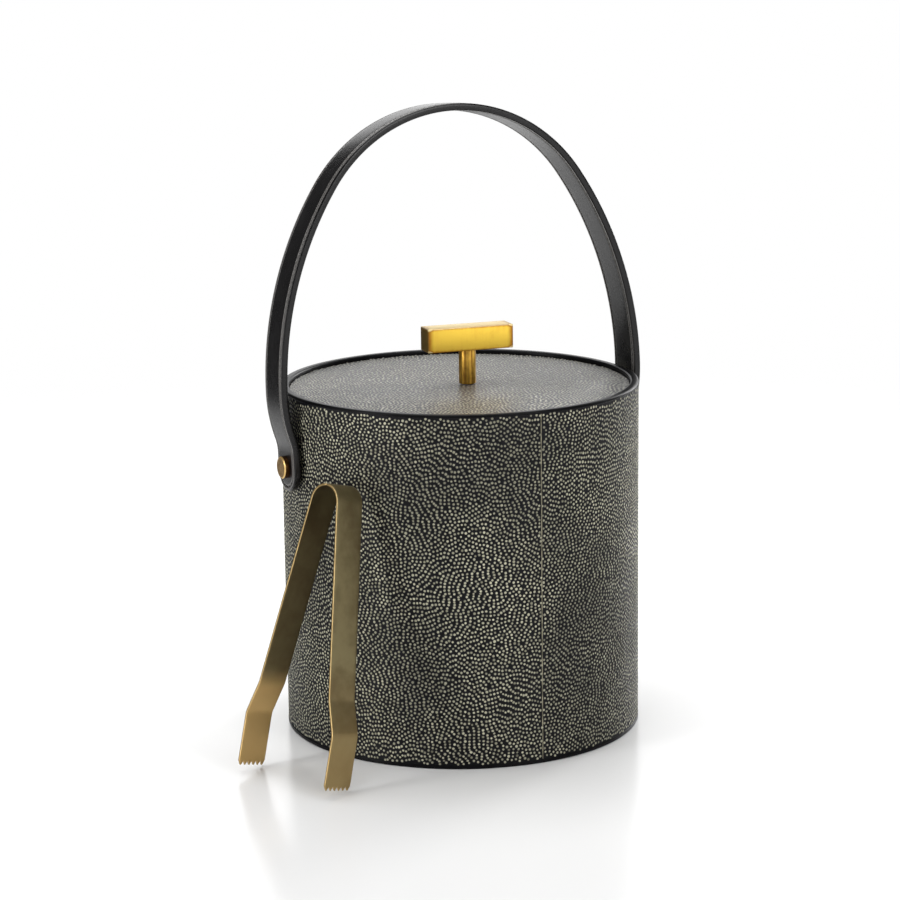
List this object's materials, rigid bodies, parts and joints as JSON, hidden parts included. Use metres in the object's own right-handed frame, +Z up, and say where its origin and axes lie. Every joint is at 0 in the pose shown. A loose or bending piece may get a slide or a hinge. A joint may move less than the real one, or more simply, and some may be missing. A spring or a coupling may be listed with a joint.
{
  "type": "ice bucket",
  "caption": "Insulated round ice bucket wrapped in beaded shagreen, with a lift-off lid and bar knob, a swinging black leather strap handle and toothed brass tongs leaning on its side.",
  "frame": {"origin": "middle of the flat base, on the surface that it stands on", "axes": "+Z up; the handle pivots on X; the front seam of the wrap faces -Y; the tongs lean at the front left"},
  "size_m": [0.2379, 0.1815, 0.3134],
  "materials": {
    "fibreboard": "raw pressed board",
    "shagreen": "pearled shagreen, pale beads on a black ground, satin",
    "black_leather": "polished black, stitched",
    "felt": "close black felt",
    "liner_steel": "satin, spun",
    "foam": "rigid closed-cell foam",
    "antique_brass": "brushed, darkened in the corners",
    "tongs_brass": "satin, olive patina",
    "fastener_steel": "zinc plated",
    "spring_steel": "blued strip",
    "nylon": "matte",
    "gasket_rubber": "matte"
  },
  "bodies": {
    "bucket": {"shell_tube": "fibreboard", "side_wrap_right": "shagreen", "side_wrap_left": "shagreen", "rim_binding": "black_leather", "base_binding": "black_leather", "base_board": "fibreboard", "base_pad": "felt", "liner": "liner_steel", "liner_seat_ring": "fibreboard", "insulation_sleeve": "foam", "insulation_disc": "foam", "pivot_screw_right": "antique_brass", "pivot_screw_left": "antique_brass", "pivot_nut_right": "fastener_steel", "pivot_nut_left": "fastener_steel", "friction_washer_right": "nylon", "friction_washer_left": "nylon"},
    "handle": {"strap_outer": "black_leather", "strap_core": "spring_steel", "strap_inner": "black_leather", "pivot_bush_right": "antique_brass", "pivot_bush_left": "antique_brass"},
    "lid": {"lid_board": "fibreboard", "lid_top_wrap": "shagreen", "lid_edge_binding": "black_leather", "lid_gasket": "gasket_rubber", "lid_pan": "liner_steel", "lid_plug": "foam", "knob_stem": "antique_brass", "knob_bar": "antique_brass", "knob_washer": "fastener_steel", "knob_screw": "fastener_steel"},
    "tongs": {"tongs_bow": "tongs_brass"},
    "tongs_front": {"tongs_front_arm": "tongs_brass"},
    "tongs_back": {"tongs_back_arm": "tongs_brass"}
  },
  "joints": [
    {"name": "handle_swing", "type": "hinge", "parent": "bucket", "child": "handle", "pos_m": [0, 0, 0.14], "axis": [1, 0, 0], "range_deg": [-130, 58]},
    {"name": "lid_lift", "type": "slide", "parent": "bucket", "child": "lid", "axis": [0, 0, 1], "range_m": [0, 0.045]},
    {"name": "tongs_take", "type": "slide", "parent": "bucket", "child": "tongs", "axis": [-0.9249, -0.3803, 0], "range_m": [0, 0.08]},
    {"name": "tongs_front_squeeze", "type": "hinge", "parent": "tongs", "child": "tongs_front", "pos_m": [-0.08899, -0.04848, 0.13068], "axis": [0.8954, 0.3682, -0.2504], "range_deg": [0, 11.5], "stiffness_Nm_per_rad": 4},
    {"name": "tongs_back_squeeze", "type": "hinge", "parent": "tongs", "child": "tongs_back", "pos_m": [-0.08899, -0.04848, 0.13068], "axis": [0.8954, 0.3682, -0.2504], "range_deg": [-11.5, 0], "stiffness_Nm_per_rad": 4}
  ],
  "couplings": [
    {"joint": "tongs_back_squeeze", "follows": "tongs_front_squeeze", "ratio": -1}
  ]
}
